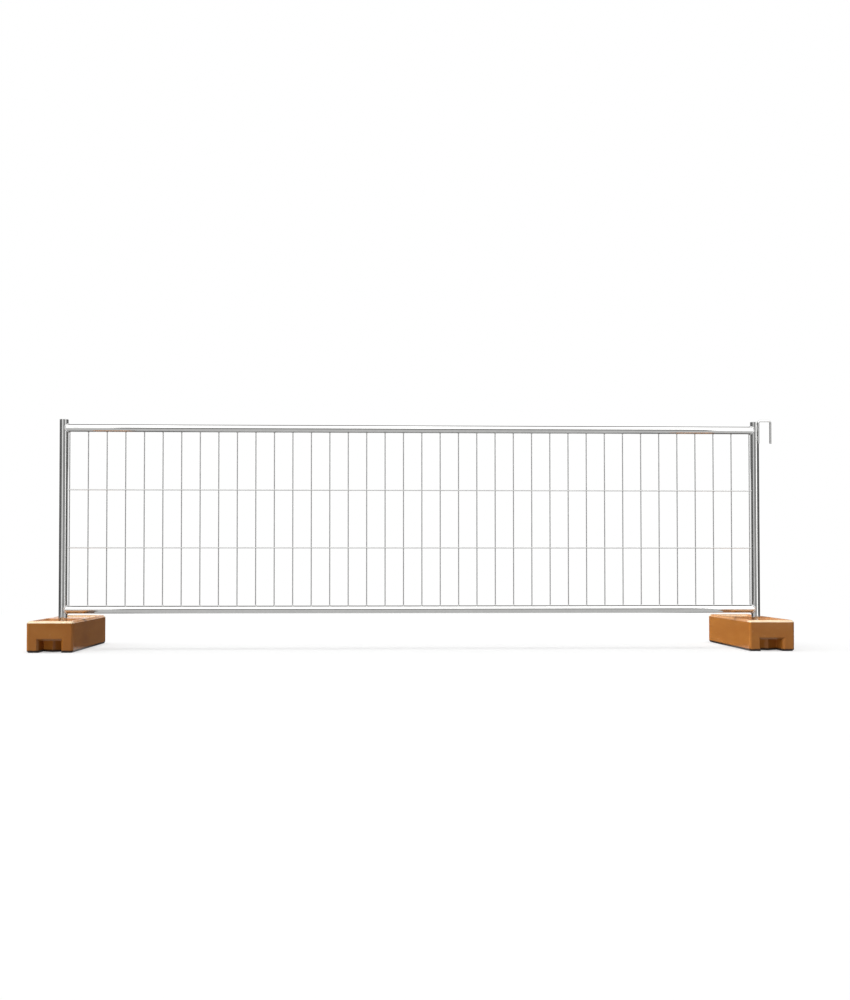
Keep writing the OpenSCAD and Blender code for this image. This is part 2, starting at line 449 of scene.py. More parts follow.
def plastic_finish(finish):
    """Satin ochre plastic, with moulding swirls, fine grain, rubbed patches, top edges paled partly by
    rubbing and partly by a painted highlight, and a painted contact shadow along the base.
    """
    material, tree, shader = new_finish("moulded ochre plastic")
    parts = place_parts(tree)
    swirl = remap(tree, noise(tree, SWIRLS, 4), (0.34, 0.66), (0, 1))
    colour = mix_colours(tree, swirl, screen_colour(finish.ochre_deep), screen_colour(finish.ochre))
    rub = remap(tree, noise(tree, RUBS, 6, 0.7), (0.60, 0.74), (0, 0.55))
    colour = mix_colours(tree, rub, colour, screen_colour(finish.scuff))
    # Partly wear, partly painted highlight: cream along the top chamfers, strongest at the foot's ends
    colour = mix_colours(tree, plastic_wear_highlight(tree, parts), colour, screen_colour(finish.worn_and_highlit))
    # Painted contact shadow: darkens the lowest few millimetres of the foot, with a wavy edge, where its
    # shadow on the ground would fall
    shadow_edge = combine(tree, "MULTIPLY_ADD", noise(tree, SHADOW_EDGE_WAVES, 4), -SHADOW_EDGE_RISE, parts["Z"])
    painted_base_shadow = remap(tree, shadow_edge, PAINTED_SHADOW_FADES, (1, 0))
    colour = mix_colours(tree, painted_base_shadow, colour, screen_colour(finish.painted_base_shadow))
    tree.links.new(colour, shader.inputs["Base Color"])
    patches = (finish.plastic_gloss - 0.03, finish.plastic_gloss + 0.04)
    gloss = remap(tree, noise(tree, GLOSS_PATCHES), (0.3, 0.7), patches)
    gloss = combine(tree, "MULTIPLY_ADD", rub, 0.12, gloss)
    gloss = combine(tree, "MULTIPLY_ADD", painted_base_shadow, 0.4, gloss)
    tree.links.new(gloss, shader.inputs["Roughness"])
    shader.inputs["Specular IOR Level"].default_value = finish.plastic_sheen
    add_bump(tree, shader, noise(tree, GRAIN, 2), strength=0.03, distance=0.0004)
    return material


def zinc_finish(name, stretch, bright, dull, base):
    """Bright galvanised steel: flakes of zinc, drawn lines along the stock and soft clouding."""
    material, tree, shader = new_finish(name)
    shader.inputs["Metallic"].default_value = 1.0
    sockets = {"Vector": stretched_place(tree, FLAKES), "Scale": 1.0}
    flakes = add_node(tree, "ShaderNodeTexVoronoi", sockets).outputs["Color"]
    flake = add_node(tree, "ShaderNodeSeparateColor", {"Color": flakes}).outputs["Red"]
    lines = noise(tree, stretch)
    cloud = combine(tree, "MULTIPLY", noise(tree, CLOUDS), 0.65)
    mottle = combine(tree, "MULTIPLY_ADD", flake, 0.35, cloud)
    share = remap(tree, mottle, (0.2, 0.7), (0, 1))
    colour = mix_colours(tree, share, screen_colour(dull), screen_colour(bright))
    tree.links.new(colour, shader.inputs["Base Color"])
    gloss = remap(tree, combine(tree, "ADD", mottle, lines), (0.5, 1.3), (base + 0.03, base - 0.03))
    tree.links.new(gloss, shader.inputs["Roughness"])
    add_bump(tree, shader, lines, strength=0.015, distance=0.0002)
    return material


def weld_finish(name, finish):
    """Welds under their zinc: duller than the tubes and a little lumpy."""
    material, tree, shader = new_finish(name)
    shader.inputs["Metallic"].default_value = 1.0
    lumps = noise(tree, LUMPS)
    colour = mix_colours(tree, lumps, screen_colour(finish.zinc_dull), screen_colour(finish.weld))
    tree.links.new(colour, shader.inputs["Base Color"])
    tree.links.new(remap(tree, lumps, (0.3, 0.7), (0.26, 0.42)), shader.inputs["Roughness"])
    add_bump(tree, shader, lumps, strength=0.2, distance=0.0003)
    return material


def tube_steel(finish, along):
    """Galvanised steel of the tubes, with its drawn lines along X or Z."""
    name = "galvanised tube along " + along
    return bpy.data.materials.get(name) or zinc_finish(
        name, DRAWN_LINES[along], finish.zinc, finish.zinc_dull, finish.zinc_gloss)


def weld_steel(finish):
    """Galvanised steel of the welds."""
    name = "galvanised weld"
    return bpy.data.materials.get(name) or weld_finish(name, finish)


def wire_steel(finish, along):
    """The duller galvanised steel of the wires, with its drawn lines along X or Z."""
    return zinc_finish(
        "galvanised wire along " + along, DRAWN_LINES[along],
        finish.wire_zinc, finish.wire_dull, finish.wire_gloss)


# Shapes


def only(items, kind):
    """The items that are of one kind."""
    return [item for item in items if isinstance(item, kind)]


def tilted_place(place, tilt):
    """Matrix that tilts from level about X and moves to a place."""
    return Matrix.Translation(place) @ Matrix.Rotation(tilt, 4, "X")


def circle_loop(shape, sides, radius, place=(0, 0, 0), tilt=0.0):
    """A new circle of edges about a place; returns its vertices and edges."""
    verts = bmesh.ops.create_circle(
        shape, segments=sides, radius=radius, matrix=tilted_place(place, tilt))["verts"]
    return verts, list({edge for vert in verts for edge in vert.link_edges})


def extrude_loop(shape, edges):
    """Extrudes a loop of edges in place; returns the new vertices and edges."""
    made = bmesh.ops.extrude_edge_only(shape, edges=edges)["geom"]
    return only(made, BMVert), only(made, BMEdge)


def close_loops(shape, *loops):
    """Fills loops of edges."""
    for loop in loops:
        bmesh.ops.edgeloop_fill(shape, edges=loop)


def add_piece(shape, name, material, body, nodes=()):
    """Turns a finished shape into a piece that rides on a body and stands for the named nodes."""
    bmesh.ops.recalc_face_normals(shape, faces=shape.faces[:])
    mesh = bpy.data.meshes.new(name)
    shape.to_mesh(mesh)
    shape.free()
    mesh.materials.append(material)
    mesh.shade_smooth()
    mesh.set_sharp_from_angle(angle=CRISP_ANGLE)
    piece = bpy.data.objects.new(name, mesh)
    bpy.context.scene.collection.objects.link(piece)
    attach(piece, body)
    if nodes:
        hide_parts(*nodes)
    flat = piece.modifiers.new("even shading", "WEIGHTED_NORMAL")
    flat.mode = "FACE_AREA"
    flat.weight = 100
    flat.keep_sharp = True


def add_tube(shape, radius, wall, low, high, rim, facets):
    """A tube round the Z axis from low to high, with its four rims rounded."""
    corners = ((radius - wall, low), (radius, low), (radius, high), (radius - wall, high))
    verts = [shape.verts.new((x, 0, z)) for x, z in corners]
    shape.faces.new(verts)
    bmesh.ops.bevel(
        shape, geom=verts, offset=rim, affect="VERTICES", segments=EDGE_STEPS, profile=0.5, material=-1)
    bmesh.ops.delete(shape, geom=shape.faces[:], context="FACES_ONLY")
    bmesh.ops.spin(
        shape, geom=shape.verts[:] + shape.edges[:], cent=(0, 0, 0), axis=(0, 0, 1),
        angle=FULL_TURN, steps=facets, use_merge=True)


def saddle_depth(across):
    """How far a post's side falls back from its nearest line, at a distance across from its axis."""
    return POST_RADIUS - math.sqrt(POST_RADIUS ** 2 - across ** 2)


def rounded_plate(shape, width, length, corner):
    """A flat plate about the origin with round corners; returns its face."""
    corners = ((-1, -1), (1, -1), (1, 1), (-1, 1))
    verts = [shape.verts.new((x * width / 2, y * length / 2, 0)) for x, y in corners]
    shape.faces.new(verts)
    made = bmesh.ops.bevel(
        shape, geom=verts, offset=corner, affect="VERTICES", segments=CORNER_STEPS, profile=0.5, material=-1)
    return made["verts"][0].link_faces[0]


def step_in(shape, face, path):
    """Insets a face along a path of (inset, height) pairs, each counted from the path's start."""
    inset, height = 0.0, 0.0
    for next_inset, next_height in path:
        bmesh.ops.inset_region(
            shape, faces=[face], thickness=next_inset - inset, depth=next_height - height,
            use_boundary=True, use_even_offset=True)
        inset, height = next_inset, next_height


def quarter_path(radius, flat_first):
    """Pairs (inset, rise) along a quarter round, which starts flat or starts upright."""
    turns = [QUARTER_TURN * (step + 1) / FILLET_STEPS for step in range(FILLET_STEPS)]
    if flat_first:
        return [(radius * math.sin(turn), radius * (1 - math.cos(turn))) for turn in turns]
    return [(radius * (1 - math.cos(turn)), radius * math.sin(turn)) for turn in turns]


def vert_near(shape, place):
    """The vertex of a shape that lies nearest to a place."""
    return min(shape.verts, key=lambda vert: (vert.co - Vector(place)).length_squared)


def notch_plan(foot):
    """Plan of the near hand-hold, from its left mouth round its ridge to its right mouth."""
    end = -FOOT_SIZE.y / 2
    mouth = foot.notch_width / 2
    inner = mouth - foot.notch_lip
    left = [(-mouth, end), (-inner, end + foot.notch_lip_depth),
            (-inner, end + foot.notch_depth + foot.notch_ridge)]
    right = [(-x, y) for x, y in reversed(left)]
    return left + [(0, end + foot.notch_depth)] + right


def round_crisp_edges(shape, radius):
    """Rounds every edge of a shape that turns sharply."""
    crisp = [edge for edge in shape.edges
             if edge.is_manifold and edge.calc_face_angle() > CRISP_ANGLE]
    bmesh.ops.bevel(
        shape, geom=crisp, offset=radius, affect="EDGES", segments=EDGE_STEPS, profile=0.5, material=-1,
        clamp_overlap=True)


def foot_body(shape, foot):
    """The block with its hand-holds and chamfered edges; returns its top face."""
    half_w, half_l = FOOT_SIZE.x / 2, FOOT_SIZE.y / 2
    notch = notch_plan(foot)
    near_end = [(-half_w, -half_l), *notch, (half_w, -half_l)]
    plan = near_end + [(-x, -y) for x, y in near_end]
    verts = [shape.verts.new((x, y, 0)) for x, y in plan]
    shape.faces.new(verts)
    corners = [vert for vert in verts if math.isclose(abs(vert.co.x), half_w, abs_tol=foot.edge_break)]
    bmesh.ops.bevel(
        shape, geom=corners, offset=foot.corner, affect="VERTICES", segments=CORNER_STEPS, profile=0.5,
        material=-1)
    base = shape.faces[:][0]

    ceiling = foot.notch_height - foot.notch_lip
    lower = bmesh.ops.extrude_face_region(shape, geom=[base], use_keep_orig=True)["geom"]
    bmesh.ops.translate(shape, verts=only(lower, BMVert), vec=(0, 0, ceiling))
    layer = only(lower, BMFace)
    mouths = []
    ceilings = []
    for turn in (1, -1):
        round_notch = [vert_near(shape, (turn * x, turn * y, ceiling)) for x, y in notch]
        mouths += [round_notch[0], round_notch[-1]]
        ceilings.append(shape.faces.new(round_notch[1:-1]))
        ceilings.append(shape.faces.new([*round_notch[:2], *round_notch[-2:]]))
    upper = bmesh.ops.extrude_face_region(shape, geom=layer + ceilings, use_keep_orig=True)["geom"]
    bmesh.ops.delete(shape, geom=layer, context="FACES_ONLY")
    bmesh.ops.translate(shape, verts=only(upper, BMVert), vec=(0, 0, FOOT_SIZE.z - ceiling))
    for vert in mouths:
        vert.co.z = foot.notch_height
    bmesh.ops.dissolve_faces(shape, faces=only(upper, BMFace))
    bmesh.ops.dissolve_limit(
        shape, angle_limit=FLAT_ANGLE, verts=shape.verts[:], edges=shape.edges[:],
        use_dissolve_boundaries=False)
    bmesh.ops.recalc_face_normals(shape, faces=shape.faces[:])
    highest = max(shape.faces, key=lambda face: face.calc_center_median().z)
    lowest = min(shape.faces, key=lambda face: face.calc_center_median().z)
    outer_base = [edge for edge in lowest.edges
                  if abs(edge.verts[0].co.x + edge.verts[1].co.x) > foot.notch_width]
    for rim, chamfer in ((highest.edges[:], foot.top_chamfer), (outer_base, foot.base_chamfer)):
        bmesh.ops.bevel(
            shape, geom=rim, offset=chamfer, affect="EDGES", segments=1, profile=0.5, material=-1)
    round_crisp_edges(shape, foot.edge_break)
    return max(shape.faces, key=lambda face: face.calc_center_median().z)


def foot_pocket(shape, foot, away):
    """A pocket with its socket, on the near or the far side, open at its mouth."""
    width = FOOT_SIZE.x - 2 * foot.rim
    length = (FOOT_SIZE.y - foot.bridge) / 2 - foot.rim
    fillet = foot.pocket_fillet
    plate = rounded_plate(shape, width + 2 * fillet, length + 2 * fillet, foot.pocket_corner + fillet)
    place = Vector((0, away * (foot.bridge + length) / 2, FOOT_SIZE.z))
    bmesh.ops.translate(shape, verts=plate.verts[:], vec=place)
    if plate.normal.z < 0:
        plate.normal_flip()
    path = [(inset, -drop) for inset, drop in quarter_path(fillet, flat_first=True)]
    wall = fillet + foot.pocket_draft - fillet / 2
    path.append((wall, fillet - foot.pocket_depth))
    path += [(wall + inset, fillet - foot.pocket_depth - drop)
             for inset, drop in quarter_path(fillet, flat_first=False)]
    step_in(shape, plate, path)
    floor = plate.edges[:]
    bmesh.ops.delete(shape, geom=[plate], context="FACES_ONLY")

    lead = foot.socket_lead
    mouth = (0, away * foot.socket_set, FOOT_SIZE.z - foot.pocket_depth)
    edges = circle_loop(shape, SOCKET_SIDES, foot.socket_radius + lead, mouth)[1]
    bmesh.ops.triangle_fill(shape, use_beauty=True, edges=floor + edges, normal=(0, 0, 1))
    centre = Vector((0, away * foot.socket_set, 0))
    bore = FOOT_SIZE.z - foot.pocket_depth - lead - foot.socket_floor
    for shrink, drop in ((foot.socket_radius / (foot.socket_radius + lead), lead), (1.0, bore)):
        ring, edges = extrude_loop(shape, edges)
        bmesh.ops.scale(shape, verts=ring, vec=(shrink, shrink, 1), space=Matrix.Translation(-centre))
        bmesh.ops.translate(shape, verts=ring, vec=(0, 0, -drop))
    close_loops(shape, edges)


def foot_shape(foot):
    """A whole foot about the middle of its base."""
    shape = bmesh.new()
    top = foot_body(shape, foot)
    bmesh.ops.delete(shape, geom=[top], context="FACES_ONLY")
    for away in (-1, 1):
        foot_pocket(shape, foot, away)
    rims = [edge for edge in shape.edges if edge.is_boundary]
    bmesh.ops.triangle_fill(shape, use_beauty=True, edges=rims, normal=(0, 0, 1))
    bmesh.ops.recalc_face_normals(shape, faces=shape.faces[:])
    round_crisp_edges(shape, foot.edge_break)
    return shape


def saddle_bead(shape, welds, x, z, outward):
    """A rippled bead round the end of a rail, bent to the side of its post."""
    bead = welds.saddle_bead
    off = SADDLE_OFF * bead
    end = Vector((x - outward * (POST_RADIUS + off), 0, RAIL_RADIUS + off))
    known = set(shape.verts)
    section, edges = circle_loop(shape, WELD_SIDES, bead, end, QUARTER_TURN)
    bmesh.ops.spin(
        shape, geom=section + edges, cent=(0, 0, 0), axis=(1, 0, 0), angle=FULL_TURN,
        steps=RIPPLE_STEPS * welds.saddle_ripples, use_merge=True)
    for vert in set(shape.verts) - known:
        turn = math.atan2(vert.co.y, vert.co.z)
        swell = 1 + welds.ripple * math.sin(welds.saddle_ripples * turn)
        middle_line = Vector((end.x, end.z * math.sin(turn), end.z * math.cos(turn)))
        vert.co = middle_line + swell * (vert.co - middle_line)
        across = max(-RAIL_RADIUS, min(RAIL_RADIUS, vert.co.y))
        vert.co.x += outward * saddle_depth(across)
        vert.co += Vector((0, PANEL_Y, z))


def straight_bead(shape, radius, length, ripple, place):
    """A short rippled bead along Z, tapered at both ends, about a place."""
    ring, edges = circle_loop(shape, WELD_SIDES, radius)
    first = edges
    size = 1.0
    for step in range(BEAD_STEPS + 1):
        along = 2 * step / BEAD_STEPS - 1
        wanted = max(BEAD_TIP, math.sqrt(1 - along ** 4)) * (1 + ripple * math.sin(step * QUARTER_TURN))
        if step:
            ring, edges = extrude_loop(shape, edges)
        centre = sum((vert.co for vert in ring), Vector()) / len(ring)
        bmesh.ops.scale(
            shape, verts=ring, vec=(wanted / size, wanted / size, 1), space=Matrix.Translation(-centre))
        move = Vector((0, 0, length / BEAD_STEPS)) if step else place - Vector((0, 0, length / 2))
        bmesh.ops.translate(shape, verts=ring, vec=move)
        size = wanted
    close_loops(shape, first, edges)


def wire_collar(shape, welds, place, turn):
    """A flared weld round the end of a wire, on a tube's side, turned from +Z by a matrix."""
    ring, edges = circle_loop(shape, WELD_SIDES, WIRE_RADIUS)
    first, every = edges, []
    for step, (radius, height) in enumerate(COLLAR_FLARE):
        if step:
            ring, edges = extrude_loop(shape, edges)
        every += ring
        scale = WIRE_RADIUS * radius / ring[0].co.xy.length
        bmesh.ops.scale(shape, verts=ring, vec=(scale, scale, 1))
        for vert in ring:
            vert.co.z = welds.collar * height
    close_loops(shape, first, edges)
    bmesh.ops.transform(shape, matrix=Matrix.Translation(place) @ turn, verts=every)


def hook_shape(tubes):
    """The inverted U of rod, bent from one leg's end to the other's."""
    low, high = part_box("coupling_hook")
    bend = tubes.hook_bend
    left, right = low.x + ROD_RADIUS, high.x - ROD_RADIUS
    y = (low.y + high.y) / 2
    bar = high.z - ROD_RADIUS
    shape = bmesh.new()
    edges = circle_loop(shape, ROD_SIDES, ROD_RADIUS, (left, y, low.z))[1]
    first = edges

    def run(vector):
        ring, last = extrude_loop(shape, edges)
        bmesh.ops.translate(shape, verts=ring, vec=vector)
        return last

    def turn(centre):
        made = bmesh.ops.spin(
            shape, geom=edges, cent=centre, axis=(0, 1, 0), angle=QUARTER_TURN, steps=BEND_STEPS)
        return only(made["geom_last"], BMEdge)

    leg = bar - bend - low.z
    edges = run((0, 0, leg))
    edges = turn((left + bend, y, bar - bend))
    edges = run((right - left - 2 * bend, 0, 0))
    edges = turn((right - bend, y, bar - bend))
    edges = run((0, 0, -leg))
    close_loops(shape, first, edges)
    bmesh.ops.bevel(
        shape, geom=first + edges, offset=tubes.hook_chamfer, affect="EDGES", segments=2, profile=0.5,
        material=-1)
    return shape


# Operators


class FENCE_OT_feet(bpy.types.Operator):
    """Builds the two moulded feet with their pockets, sockets and hand-holds"""

    bl_idname = "fence.feet"
    bl_label = "Feet"

    def execute(self, context):
        scene = context.scene
        material = plastic_finish(scene.fence_finish)
        for side in SIDES:
            node = side + "_foot"
            shape = foot_shape(scene.fence_foot)
            place = middle(node)
            bmesh.ops.translate(shape, verts=shape.verts[:], vec=(place.x, place.y, 0))
            add_piece(shape, node + "_moulding", material, node, [node])
        return {"FINISHED"}


class FENCE_OT_posts(bpy.types.Operator):
    """Builds the two open posts"""

    bl_idname = "fence.posts"
    bl_label = "Posts"

    def execute(self, context):
        scene = context.scene
        tubes = scene.fence_tubes
        for side in SIDES:
            node = side + "_post"
            low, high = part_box(node)
            shape = bmesh.new()
            add_tube(shape, POST_RADIUS, tubes.wall, low.z, high.z, tubes.rim, tubes.facets)
            place = middle(node)
            bmesh.ops.translate(shape, verts=shape.verts[:], vec=(place.x, place.y, 0))
            add_piece(shape, node + "_tube", tube_steel(scene.fence_finish, "Z"), PANEL, [node])
        return {"FINISHED"}


class FENCE_OT_rails(bpy.types.Operator):
    """Builds the two rails, with ends that saddle the posts"""

    bl_idname = "fence.rails"
    bl_label = "Rails"

    def execute(self, context):
        scene = context.scene
        tubes = scene.fence_tubes
        half = middle("right_post").x - POST_RADIUS
        for node in RAILS:
            shape = bmesh.new()
            add_tube(shape, RAIL_RADIUS, tubes.wall, -half, half, tubes.rim, tubes.facets)
            bmesh.ops.rotate(shape, verts=shape.verts[:], matrix=Matrix.Rotation(QUARTER_TURN, 3, "Y"))
            for vert in shape.verts:
                vert.co.x += math.copysign(saddle_depth(vert.co.y), vert.co.x)
            bmesh.ops.translate(shape, verts=shape.verts[:], vec=(0, PANEL_Y, middle(node).z))
            add_piece(shape, node + "_tube", tube_steel(scene.fence_finish, "X"), PANEL, [node])
        return {"FINISHED"}


class FENCE_OT_hook(bpy.types.Operator):
    """Builds the coupling hook from one bent rod"""

    bl_idname = "fence.hook"
    bl_label = "Hook"

    def execute(self, context):
        scene = context.scene
        shape = hook_shape(scene.fence_tubes)
        add_piece(shape, "coupling_hook_rod", tube_steel(scene.fence_finish, "Z"), PANEL,
                  ["coupling_hook"])
        return {"FINISHED"}


class FENCE_OT_frame_welds(bpy.types.Operator):
    """Builds the beads that join rails and hook to the posts"""

    bl_idname = "fence.frame_welds"
    bl_label = "Frame Welds"

    def execute(self, context):
        scene = context.scene
        welds = scene.fence_welds
        material = weld_steel(scene.fence_finish)
        for side, outward in zip(SIDES, (-1, 1)):
            for node in RAILS:
                shape = bmesh.new()
                saddle_bead(shape, welds, middle(side + "_post").x, middle(node).z, outward)
                add_piece(shape, node + "_" + side + "_weld", material, PANEL)

        low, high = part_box("coupling_hook")
        rod = Vector((low.x + ROD_RADIUS, (low.y + high.y) / 2, 0))
        post = middle("right_post")
        post.z = 0
        reach = (rod - post).normalized()
        aside = Vector((-reach.y, reach.x, 0))
        shape = bmesh.new()
        for share in BEAD_HEIGHTS:
            for way in (-1, 1):
                place = post + (POST_RADIUS + BEAD_OFF * welds.hook_bead) * reach
                place += way * BEAD_ASIDE * ROD_RADIUS * aside
                place.z = low.z + share * (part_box("right_post")[1].z - low.z)
                straight_bead(shape, welds.hook_bead, welds.hook_bead_length, welds.ripple, place)
        add_piece(shape, "coupling_hook_welds", material, PANEL)
        return {"FINISHED"}


class FENCE_OT_mesh(bpy.types.Operator):
    """Finishes the mesh wires and builds the welds at their ends and crossings"""

    bl_idname = "fence.mesh"
    bl_label = "Mesh"

    def execute(self, context):
        scene = context.scene
        welds = scene.fence_welds
        finish = scene.fence_finish
        for nodes, along in ((UPRIGHT_WIRES, "Z"), (CROSS_WIRES, "X")):
            material = wire_steel(finish, along)
            for node in nodes:
                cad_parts[node].data.materials[0] = material

        weld = weld_steel(finish)
        turn_up, turn_down = Matrix.Identity(4), Matrix.Rotation(math.pi, 4, "X")
        for node, turn, edge in (("bottom_rail", turn_up, 1), ("top_rail", turn_down, 0)):
            shape = bmesh.new()
            for wire in UPRIGHT_WIRES:
                place = Vector((middle(wire).x, PANEL_Y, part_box(node)[edge].z))
                wire_collar(shape, welds, place, turn)
            add_piece(shape, node + "_wire_welds", weld, PANEL)

        shape = bmesh.new()
        for wire in CROSS_WIRES:
            low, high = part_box(wire)
            y, z = (low.y + high.y) / 2, (low.z + high.z) / 2
            for side, way in zip(SIDES, (1, -1)):
                x = middle(side + "_post").x + way * (POST_RADIUS - saddle_depth(y - PANEL_Y))
                turn = Matrix.Rotation(way * QUARTER_TURN, 4, "Y")
                wire_collar(shape, welds, Vector((x, y, z)), turn)
        add_piece(shape, "cross_wire_end_welds", weld, PANEL)

        shape = bmesh.new()
        for crossing in CROSS_WIRES:
            for wire in UPRIGHT_WIRES:
                place = Vector((middle(wire).x, (PANEL_Y + middle(crossing).y) / 2, middle(crossing).z))
                size = Matrix.Diagonal((1, NUGGET_DEPTH, 1, 1))
                bmesh.ops.create_icosphere(
                    shape, subdivisions=2, radius=welds.nugget, matrix=Matrix.Translation(place) @ size)
        add_piece(shape, "wire_crossing_welds", weld, PANEL)
        return {"FINISHED"}


# Studio

# Half the side of the floor, and distances over which it turns from shaded to plain white
FLOOR_HALF = 60
FLOOR_FADES = (2.2, 5.0)
# The shaded floor's own glow, and how much light it gives back to the camera and to the pieces
FLOOR_GLOW = 0.5
FLOOR_SHADE = 0.26
FLOOR_BOUNCE = 0.09
# Depths over which the mirrored floor brightens in front, and brightens again far behind
FRONT_BRIGHTENS = (-4.5, -2.0)
FAR_BRIGHTENS = (0.6, 1.2)
# Dark zone of the mirrored floor: how it sets in, and how it starts further forward near the feet
DARK_SETS_IN = (0, 0.2)
FEET_NEAR = (1.2, 1.45)
DARK_START = (0.2, -0.1)
# Brightness of the mirrored floor in front, far behind, and in the dark zone with its slats
BRIGHT_LEVEL = 0.85
FAR_LEVEL = 0.8
DARK_LEVEL = 0.10
# Low slats on the floor behind, which hide its brightness from flat angles only
SLAT_START = 0.5
SLAT_PITCH = 0.01
SLAT_HEIGHT = 0.0012
SLAT_LENGTH = 10
SLAT_ROWS = 390
# Ring of grey flags that the steel mirrors, open at the back and wider open at the left
FLAG_SIDES = 96
FLAG_RADIUS = 4.8
FLAG_HEIGHT = 2.3
FLAG_BACK = {"left": 3.2, "right": 3.9}
# Depths over which the ring turns from its front grey to its side grey
FLAG_TURNS = (-3.6, -0.6)
# Grey slope above and behind the panel
SLOPE_SIZE = (10, 6)
SLOPE_PLACE = (0, 2.7, 3.65)
SLOPE_TILT = math.radians(-51)
# Power of a square metre of card that mirrors as bright as white
CARD_POWER = 4
# How sharply the surround's light gathers at the two sides
SIDE_FALL = 4.0


def studio_world(stage):
    """A white surround where it is seen; where it lights, it is brighter at the two sides."""
    world = bpy.data.worlds.new("white studio")
    world.use_nodes = True
    tree = world.node_tree
    way = add_node(tree, "ShaderNodeTexCoord").outputs["Generated"]
    across = add_node(tree, "ShaderNodeSeparateXYZ", {"Vector": way}).outputs["X"]
    fall = combine(tree, "POWER", combine(tree, "ABSOLUTE", across, 0.0), SIDE_FALL)
    sides = (stage.left_light, stage.right_light)
    side = remap(tree, combine(tree, "SIGN", across, 0.0), (-1, 1), sides)
    light = combine(tree, "MULTIPLY_ADD", fall, side, stage.ambient)
    path = add_node(tree, "ShaderNodeLightPath")
    seen = combine(tree, "MAXIMUM", path.outputs["Is Camera Ray"], path.outputs["Is Glossy Ray"])
    seen = combine(tree, "MAXIMUM", seen, path.outputs["Is Transmission Ray"])
    unseen = combine(tree, "SUBTRACT", 1.0, seen)
    background = tree.nodes["Background"].inputs
    background["Color"].default_value = (1, 1, 1, 1)
    tree.links.new(combine(tree, "MULTIPLY_ADD", light, unseen, seen), background["Strength"])
    bpy.context.scene.world = world


def floor_finish():
    """Pale floor: soft shadows near the feet, plain white where it runs off, its own levels in mirrors."""
    material, tree, shader = new_finish("pale floor")
    place = object_place(tree)
    reach = add_node(tree, "ShaderNodeVectorMath", {0: place}, operation="LENGTH").outputs["Value"]
    path = add_node(tree, "ShaderNodeLightPath").outputs
    seen = combine(tree, "MAXIMUM", path["Is Camera Ray"], path["Is Transmission Ray"])
    bounce = remap(tree, path["Is Diffuse Ray"], (0, 1), (0, FLOOR_BOUNCE))
    shade = combine(tree, "MULTIPLY", combine(tree, "MULTIPLY_ADD", seen, FLOOR_SHADE, bounce),
                    remap(tree, reach, FLOOR_FADES, (1, 0)))
    colour = add_node(tree, "ShaderNodeCombineColor", {"Red": shade, "Green": shade, "Blue": shade})
    tree.links.new(colour.outputs["Color"], shader.inputs["Base Color"])
    shader.inputs["Roughness"].default_value = 1.0
    shader.inputs["Specular IOR Level"].default_value = 0.0

    parts = place_parts(tree)
    start = remap(tree, combine(tree, "ABSOLUTE", parts["X"], 0.0), FEET_NEAR, DARK_START)
    behind = combine(tree, "SUBTRACT", parts["Y"], start)
    mirrored = combine(tree, "ADD", remap(tree, behind, DARK_SETS_IN, (BRIGHT_LEVEL, DARK_LEVEL)),
                       remap(tree, parts["Y"], FAR_BRIGHTENS, (0, FAR_LEVEL)))
    front = remap(tree, parts["Y"], FRONT_BRIGHTENS, (0.35, 1))
    mirrored = combine(tree, "MULTIPLY", front, mirrored)
    level = combine(tree, "MULTIPLY", remap(tree, reach, FLOOR_FADES, (FLOOR_GLOW, 1)), seen)
    level = combine(tree, "MULTIPLY_ADD", path["Is Glossy Ray"], mirrored, level)
    shader.inputs["Emission Color"].default_value = (1, 1, 1, 1)
    tree.links.new(level, shader.inputs["Emission Strength"])
    return material


def glow_finish(name, strength=0.0):
    """A surface that only glows; returns its material, node tree and strength socket."""
    material, tree, shader = new_finish(name)
    shader.inputs["Base Color"].default_value = (0, 0, 0, 1)
    shader.inputs["Roughness"].default_value = 1.0
    shader.inputs["Specular IOR Level"].default_value = 0.0
    shader.inputs["Emission Color"].default_value = (1, 1, 1, 1)
    shader.inputs["Emission Strength"].default_value = strength
    return material, tree, shader.inputs["Emission Strength"]


def ring_finish(stage):
    """Grey that is even in front of the panel, and darker towards the floor beside it."""
    material, tree, strength = glow_finish("grey ring")
    parts = place_parts(tree)
    side = remap(tree, parts["Z"], (0, FLAG_HEIGHT), (stage.side_flag_low, stage.side_flag_high))
    share = remap(tree, parts["Y"], FLAG_TURNS, (1, 0))
    front = combine(tree, "MULTIPLY", share, stage.front_flag)
    rest = combine(tree, "SUBTRACT", 1.0, share)
    tree.links.new(combine(tree, "MULTIPLY_ADD", side, rest, front), strength)
    return material


def add_stage_mesh(shape, name, material):
    """Turns a shape into a piece of the studio."""
    mesh = bpy.data.meshes.new(name)
    shape.to_mesh(mesh)
    shape.free()
    mesh.materials.append(material)
    piece = bpy.data.objects.new(name, mesh)
    bpy.context.scene.collection.objects.link(piece)
    return piece


def add_lamp(name, kind, place, target):
    """A lamp at a place, turned towards a target, that the camera doesn't see."""
    lamp = bpy.data.lights.new(name, kind)
    thing = bpy.data.objects.new(name, lamp)
    bpy.context.scene.collection.objects.link(thing)
    thing.location = place
    thing.rotation_euler = (Vector(target) - Vector(place)).to_track_quat("-Z", "Y").to_euler()
    thing.visible_camera = False
    return thing


def add_card(name, place, target, size, brightness):
    """A bright rectangle that only mirror-like surfaces show."""
    thing = add_lamp(name, "AREA", place, target)
    thing.data.shape = "RECTANGLE"
    thing.data.size, thing.data.size_y = size
    thing.data.energy = CARD_POWER * brightness * size[0] * size[1]
    thing.visible_diffuse = False


